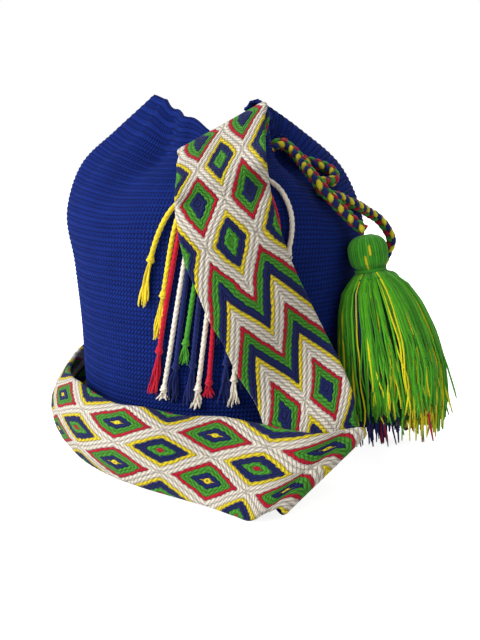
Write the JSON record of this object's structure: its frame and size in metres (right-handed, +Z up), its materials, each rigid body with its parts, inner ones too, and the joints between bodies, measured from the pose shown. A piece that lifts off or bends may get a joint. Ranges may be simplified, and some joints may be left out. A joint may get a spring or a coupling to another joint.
{
  "type": "crocheted bucket bag",
  "caption": "Crocheted bucket bag with a gathered mouth, a wide woven shoulder strap with fringed ends, and a braided drawstring with tassels.",
  "frame": {"origin": "on the floor, under the middle of the bag's base", "axes": "+Z up, -Y to the front where the strap hangs down, +X to the right of the front view, where the tassels hang"},
  "size_m": [0.3684, 0.3617, 0.313],
  "materials": {
    "blue_crochet": "matt cotton crochet",
    "woven_cotton": "matt woven cotton cords",
    "braided_cord": "matt braided cotton cord",
    "blue_yarn": "matt twisted cotton",
    "green_yarn": "matt loose yarn",
    "binding_yarn": "matt wound yarn",
    "red_yarn": "matt twisted cotton",
    "yellow_yarn": "matt twisted cotton",
    "cream_yarn": "matt twisted cotton"
  },
  "bodies": {
    "root": {"bag_body": "blue_crochet", "strap": "woven_cotton", "drawstring": "braided_cord", "fringe_front_01": "yellow_yarn", "fringe_front_02": "yellow_yarn", "fringe_front_03": "red_yarn", "fringe_front_04": "cream_yarn", "fringe_front_05": "blue_yarn", "fringe_front_06": "green_yarn", "fringe_front_07": "blue_yarn", "fringe_front_08": "cream_yarn", "fringe_front_09": "red_yarn", "fringe_front_10": "blue_yarn", "fringe_front_11": "blue_yarn", "fringe_front_12": "cream_yarn", "fringe_front_13": "blue_yarn", "fringe_front_14": "green_yarn", "fringe_front_15": "red_yarn", "fringe_front_16": "cream_yarn", "fringe_back_01": "blue_yarn", "fringe_back_02": "cream_yarn", "fringe_back_03": "green_yarn", "fringe_back_04": "blue_yarn", "fringe_back_05": "yellow_yarn", "fringe_back_06": "red_yarn", "fringe_back_07": "blue_yarn", "fringe_back_08": "cream_yarn", "tassel_front": "green_yarn", "tassel_front_binding": "binding_yarn", "tassel_rear": "green_yarn", "tassel_rear_binding": "binding_yarn"}
  },
  "joints": []
}
